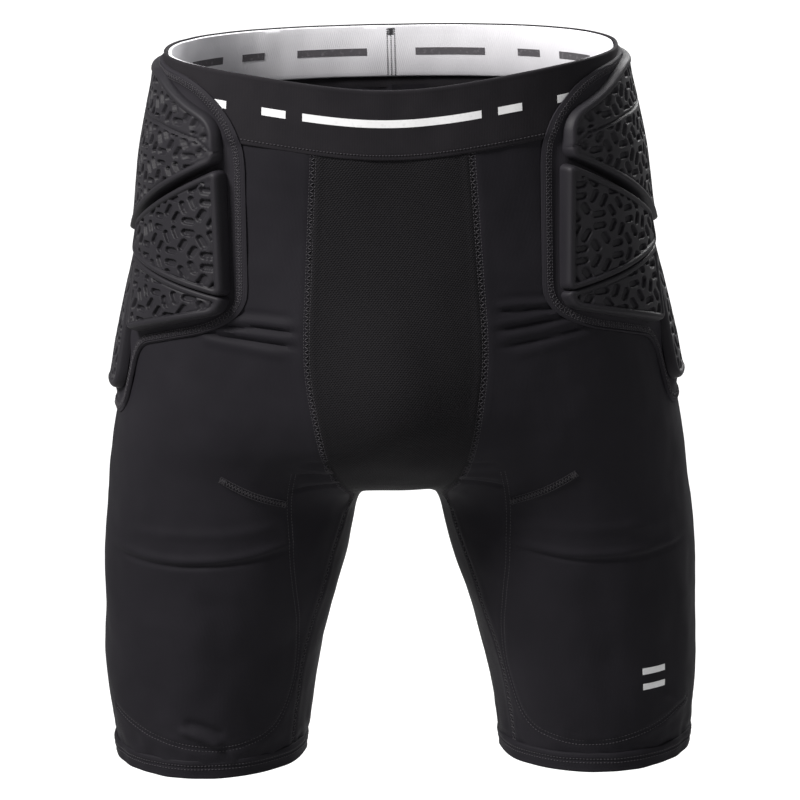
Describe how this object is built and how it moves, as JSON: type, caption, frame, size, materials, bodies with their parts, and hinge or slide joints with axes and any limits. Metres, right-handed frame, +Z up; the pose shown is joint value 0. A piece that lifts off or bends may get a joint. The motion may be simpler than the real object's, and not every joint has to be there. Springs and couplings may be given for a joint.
{
  "type": "padded compression shorts",
  "caption": "Close-fitting stretch shorts with a wide elastic waistband, a mesh front pouch, moulded foam pads over the hips and tailbone, and thigh pad pockets.",
  "frame": {"origin": "centre of the waist opening, level with the waistband's edge at the sides", "axes": "+Z up, -Y is the front of the shorts, +X is the wearer's left"},
  "size_m": [0.4076, 0.2708, 0.4898],
  "materials": {
    "stretch_cloth": "matte stretch knit, near black, faint fine vertical ribs",
    "pouch_mesh": "fine eyelet mesh, near black, slight sheen",
    "waistband_knit": "dense elastic knit, near black, matte",
    "waistband_lining": "pale brushed elastic",
    "moulded_foam": "moulded foam, near black, satin",
    "pad_backing": "laminated stretch cloth with a bound edge",
    "edge_binding": "folded elastic binding"
  },
  "bodies": {
    "pelvis": {"waistband_shell": "waistband_knit", "waistband_lining": "waistband_lining", "front_pouch": "pouch_mesh", "pouch_lining": "pouch_mesh", "crotch_gusset": "stretch_cloth", "tailbone_pad_backing": "pad_backing", "tailbone_pad_upper": "moulded_foam", "tailbone_pad_lower": "moulded_foam", "left_front_panel": "stretch_cloth", "left_seat_panel": "stretch_cloth", "right_front_panel": "stretch_cloth", "right_seat_panel": "stretch_cloth", "left_hip_pad_backing": "pad_backing", "right_hip_pad_backing": "pad_backing", "left_hip_pad_upper": "moulded_foam", "left_hip_pad_side": "moulded_foam", "left_hip_pad_front_upper": "moulded_foam", "left_hip_pad_front_lower": "moulded_foam", "left_hip_pad_rear_upper": "moulded_foam", "left_hip_pad_rear_lower": "moulded_foam", "right_hip_pad_upper": "moulded_foam", "right_hip_pad_side": "moulded_foam", "right_hip_pad_front_upper": "moulded_foam", "right_hip_pad_front_lower": "moulded_foam", "right_hip_pad_rear_upper": "moulded_foam", "right_hip_pad_rear_lower": "moulded_foam"},
    "left_leg": {"left_leg_front": "stretch_cloth", "left_leg_back": "stretch_cloth", "left_leg_inner": "stretch_cloth", "left_hem_band": "stretch_cloth", "left_thigh_pocket": "pouch_mesh", "left_thigh_pocket_edge": "edge_binding"},
    "right_leg": {"right_leg_front": "stretch_cloth", "right_leg_back": "stretch_cloth", "right_leg_inner": "stretch_cloth", "right_hem_band": "stretch_cloth", "right_thigh_pocket": "pouch_mesh", "right_thigh_pocket_edge": "edge_binding"}
  },
  "joints": [
    {"name": "left_hip", "type": "hinge", "parent": "pelvis", "child": "left_leg", "pos_m": [0.1, 0.005, -0.22], "axis": [-1, 0, 0], "range_deg": [-15, 60], "stiffness_Nm_per_rad": 0.15},
    {"name": "right_hip", "type": "hinge", "parent": "pelvis", "child": "right_leg", "pos_m": [-0.1, 0.005, -0.22], "axis": [-1, 0, 0], "range_deg": [-15, 60], "stiffness_Nm_per_rad": 0.15}
  ]
}
